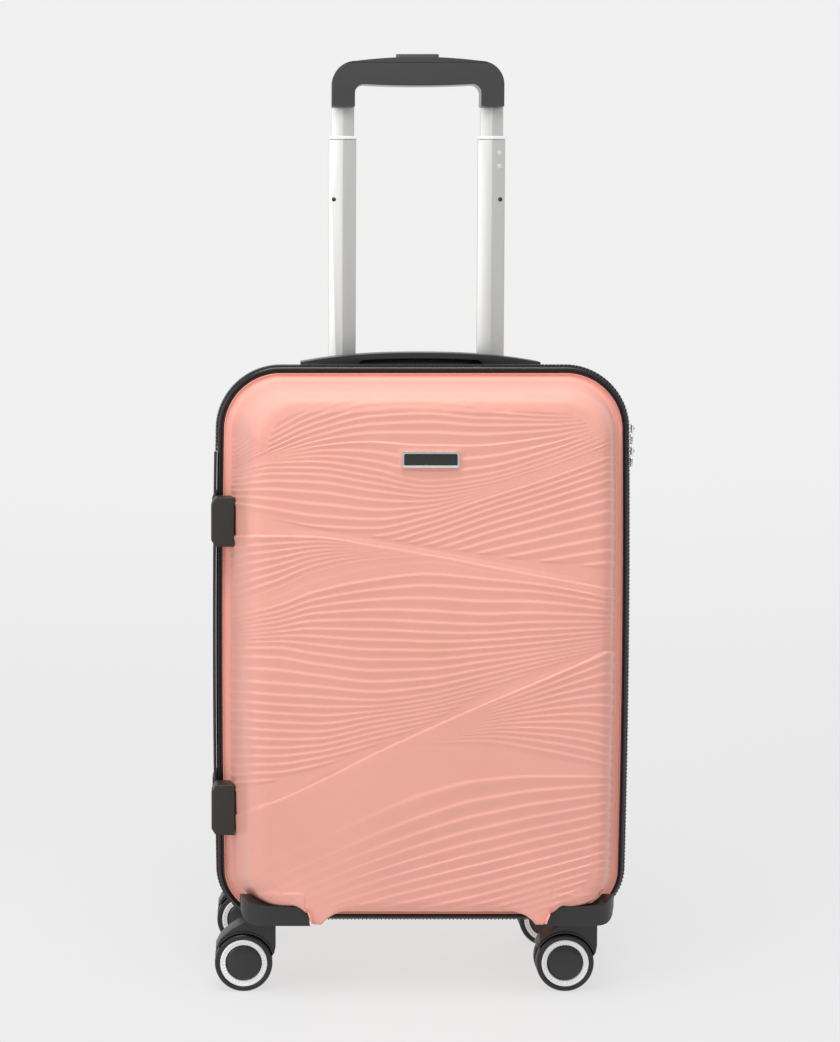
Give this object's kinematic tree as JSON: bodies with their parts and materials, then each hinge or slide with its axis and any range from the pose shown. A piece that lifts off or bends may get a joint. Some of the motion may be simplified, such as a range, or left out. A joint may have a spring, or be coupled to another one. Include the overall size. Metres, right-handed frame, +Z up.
{
  "type": "hard shell cabin suitcase",
  "caption": "Upright hard shell cabin suitcase with ridged moulded halves, zip seam, twin-wheel casters, telescopic pull handle and carry handles.",
  "frame": {"origin": "on the floor under the middle of the case, between the four casters", "axes": "+Z up, +Y towards the back (the pull handle's side), +X to the right seen from the front; the hinge side is -X"},
  "size_m": [0.374, 0.2, 0.8203],
  "materials": {
    "pink_shell": "satin moulded polypropylene, salmon pink, fine wavy ridges",
    "black_trim": "soft black edge piping",
    "zip_tape": "woven black zip tape and coil teeth",
    "lining": "plain woven grey lining",
    "black_moulding": "black moulded plastic, fine satin texture",
    "tube": "satin anodised, fine brushing along the tube",
    "collar": "white moulded plastic",
    "grip": "dark grey satin moulded plastic",
    "button": "grey moulded plastic",
    "chrome": "bright plated metal",
    "wheel": "silver-grey ring with a black tyre and cap",
    "webbing": "woven webbing"
  },
  "bodies": {
    "rear_half": {"rear_shell": "pink_shell", "rear_rim_trim": "black_trim", "rear_zip_tape": "zip_tape", "rear_lining": "lining", "cross_strap_a": "webbing", "cross_strap_b": "webbing", "trolley_cup": "black_moulding", "trolley_bracket": "black_moulding", "outer_tube_left": "tube", "outer_tube_right": "tube", "carry_handle_base": "black_moulding", "side_handle_base": "black_moulding", "lock_housing": "black_moulding", "wheel_housing_rear_left": "black_moulding", "wheel_housing_rear_right": "black_moulding", "rear_foot_lower": "black_moulding", "rear_foot_upper": "black_moulding", "hinge_band": "zip_tape"},
    "front_half": {"front_shell": "pink_shell", "front_rim_trim": "black_trim", "front_zip_tape": "zip_tape", "front_lining": "lining", "divider_panel": "lining", "wheel_housing_front_left": "black_moulding", "wheel_housing_front_right": "black_moulding", "front_foot_lower": "black_moulding", "front_foot_upper": "black_moulding", "badge_frame": "chrome", "badge_plate": "black_moulding"},
    "trolley_middle": {"middle_tube_left": "tube", "middle_tube_right": "tube", "tube_collar_left": "collar", "tube_collar_right": "collar"},
    "trolley_inner": {"inner_tube_left": "tube", "inner_tube_right": "tube", "grip_body": "grip", "grip_cover": "grip"},
    "grip_button": {"grip_button": "button"},
    "carry_grip": {"carry_handle_grip": "black_moulding"},
    "side_grip": {"side_handle_grip": "black_moulding"},
    "lock_slide": {"lock_slide": "chrome"},
    "lock_dial_1": {"lock_dial_1": "button"},
    "lock_dial_2": {"lock_dial_2": "button"},
    "lock_dial_3": {"lock_dial_3": "button"},
    "zip_slider_upper": {"zip_slider_upper": "chrome"},
    "zip_tab_upper": {"zip_tab_upper": "chrome"},
    "zip_slider_lower": {"zip_slider_lower": "chrome"},
    "zip_tab_lower": {"zip_tab_lower": "chrome"},
    "caster_front_left": {"caster_front_left_fork": "black_moulding"},
    "caster_front_left_wheel_outer": {"caster_front_left_wheel_outer": "wheel"},
    "caster_front_left_wheel_inner": {"caster_front_left_wheel_inner": "wheel"},
    "caster_front_right": {"caster_front_right_fork": "black_moulding"},
    "caster_front_right_wheel_outer": {"caster_front_right_wheel_outer": "wheel"},
    "caster_front_right_wheel_inner": {"caster_front_right_wheel_inner": "wheel"},
    "caster_rear_left": {"caster_rear_left_fork": "black_moulding"},
    "caster_rear_left_wheel_outer": {"caster_rear_left_wheel_outer": "wheel"},
    "caster_rear_left_wheel_inner": {"caster_rear_left_wheel_inner": "wheel"},
    "caster_rear_right": {"caster_rear_right_fork": "black_moulding"},
    "caster_rear_right_wheel_outer": {"caster_rear_right_wheel_outer": "wheel"},
    "caster_rear_right_wheel_inner": {"caster_rear_right_wheel_inner": "wheel"}
  },
  "joints": [
    {"name": "lid_hinge", "type": "hinge", "parent": "rear_half", "child": "front_half", "pos_m": [-0.1885, 0, 0.29], "axis": [0, 0, -1], "range_deg": [0, 180], "deforming": ["hinge_band"]},
    {"name": "middle_slide", "type": "slide", "parent": "rear_half", "child": "trolley_middle", "axis": [0, 0, 1], "range_m": [-0.2445, 0]},
    {"name": "inner_slide", "type": "slide", "parent": "trolley_middle", "child": "trolley_inner", "axis": [0, 0, 1], "range_m": [-0.0262, 0.21]},
    {"name": "button_press", "type": "slide", "parent": "trolley_inner", "child": "grip_button", "axis": [0, 0, -1], "range_m": [0, 0.003], "stiffness_N_per_m": 400, "springref_m": -0.003},
    {"name": "carry_lift", "type": "slide", "parent": "rear_half", "child": "carry_grip", "axis": [0, 0, 1], "range_m": [0, 0.012], "stiffness_N_per_m": 200, "springref_m": -0.003},
    {"name": "side_lift", "type": "slide", "parent": "rear_half", "child": "side_grip", "axis": [1, 0, 0], "range_m": [0, 0.01], "stiffness_N_per_m": 200, "springref_m": -0.003},
    {"name": "dial_1_turn", "type": "hinge", "parent": "rear_half", "child": "lock_dial_1", "pos_m": [0.1795, 0.025, 0.444], "axis": [0, 0, 1], "continuous": true},
    {"name": "dial_2_turn", "type": "hinge", "parent": "rear_half", "child": "lock_dial_2", "pos_m": [0.1795, 0.025, 0.452], "axis": [0, 0, 1], "continuous": true},
    {"name": "dial_3_turn", "type": "hinge", "parent": "rear_half", "child": "lock_dial_3", "pos_m": [0.1795, 0.025, 0.46], "axis": [0, 0, 1], "continuous": true},
    {"name": "lock_release", "type": "slide", "parent": "rear_half", "child": "lock_slide", "axis": [0, 1, 0], "range_m": [0, 0.0042], "stiffness_N_per_m": 300, "springref_m": -0.002},
    {"name": "zip_upper_run", "type": "slide", "parent": "rear_half", "child": "zip_slider_upper", "axis": [0, 0, 1], "range_m": [0, 0.006]},
    {"name": "zip_lower_run", "type": "slide", "parent": "rear_half", "child": "zip_slider_lower", "axis": [-0.0075, 0, 1], "range_m": [-0.17, 0]},
    {"name": "zip_tab_upper_swing", "type": "hinge", "parent": "zip_slider_upper", "child": "zip_tab_upper", "pos_m": [0.1856, 0, 0.479], "axis": [0, -1, 0], "range_deg": [0, 95]},
    {"name": "zip_tab_lower_swing", "type": "hinge", "parent": "zip_slider_lower", "child": "zip_tab_lower", "pos_m": [0.1856, 0, 0.459], "axis": [0, -1, 0], "range_deg": [0, 95]},
    {"name": "caster_front_left_swivel", "type": "hinge", "parent": "front_half", "child": "caster_front_left", "pos_m": [-0.1394, -0.0605, 0.05], "axis": [0, 0, 1], "continuous": true},
    {"name": "caster_front_left_outer_spin", "type": "hinge", "parent": "caster_front_left", "child": "caster_front_left_wheel_outer", "pos_m": [-0.1584, -0.0685, 0.025], "axis": [0, 1, 0], "continuous": true},
    {"name": "caster_front_left_inner_spin", "type": "hinge", "parent": "caster_front_left", "child": "caster_front_left_wheel_inner", "pos_m": [-0.1584, -0.0525, 0.025], "axis": [0, 1, 0], "continuous": true},
    {"name": "caster_front_right_swivel", "type": "hinge", "parent": "front_half", "child": "caster_front_right", "pos_m": [0.1394, -0.0605, 0.05], "axis": [0, 0, 1], "continuous": true},
    {"name": "caster_front_right_outer_spin", "type": "hinge", "parent": "caster_front_right", "child": "caster_front_right_wheel_outer", "pos_m": [0.1204, -0.0685, 0.025], "axis": [0, 1, 0], "continuous": true},
    {"name": "caster_front_right_inner_spin", "type": "hinge", "parent": "caster_front_right", "child": "caster_front_right_wheel_inner", "pos_m": [0.1204, -0.0525, 0.025], "axis": [0, 1, 0], "continuous": true},
    {"name": "caster_rear_left_swivel", "type": "hinge", "parent": "rear_half", "child": "caster_rear_left", "pos_m": [-0.1394, 0.0605, 0.05], "axis": [0, 0, 1], "continuous": true},
    {"name": "caster_rear_left_outer_spin", "type": "hinge", "parent": "caster_rear_left", "child": "caster_rear_left_wheel_outer", "pos_m": [-0.1584, 0.0685, 0.025], "axis": [0, 1, 0], "continuous": true},
    {"name": "caster_rear_left_inner_spin", "type": "hinge", "parent": "caster_rear_left", "child": "caster_rear_left_wheel_inner", "pos_m": [-0.1584, 0.0525, 0.025], "axis": [0, 1, 0], "continuous": true},
    {"name": "caster_rear_right_swivel", "type": "hinge", "parent": "rear_half", "child": "caster_rear_right", "pos_m": [0.1394, 0.0605, 0.05], "axis": [0, 0, 1], "continuous": true},
    {"name": "caster_rear_right_outer_spin", "type": "hinge", "parent": "caster_rear_right", "child": "caster_rear_right_wheel_outer", "pos_m": [0.1204, 0.0685, 0.025], "axis": [0, 1, 0], "continuous": true},
    {"name": "caster_rear_right_inner_spin", "type": "hinge", "parent": "caster_rear_right", "child": "caster_rear_right_wheel_inner", "pos_m": [0.1204, 0.0525, 0.025], "axis": [0, 1, 0], "continuous": true}
  ]
}
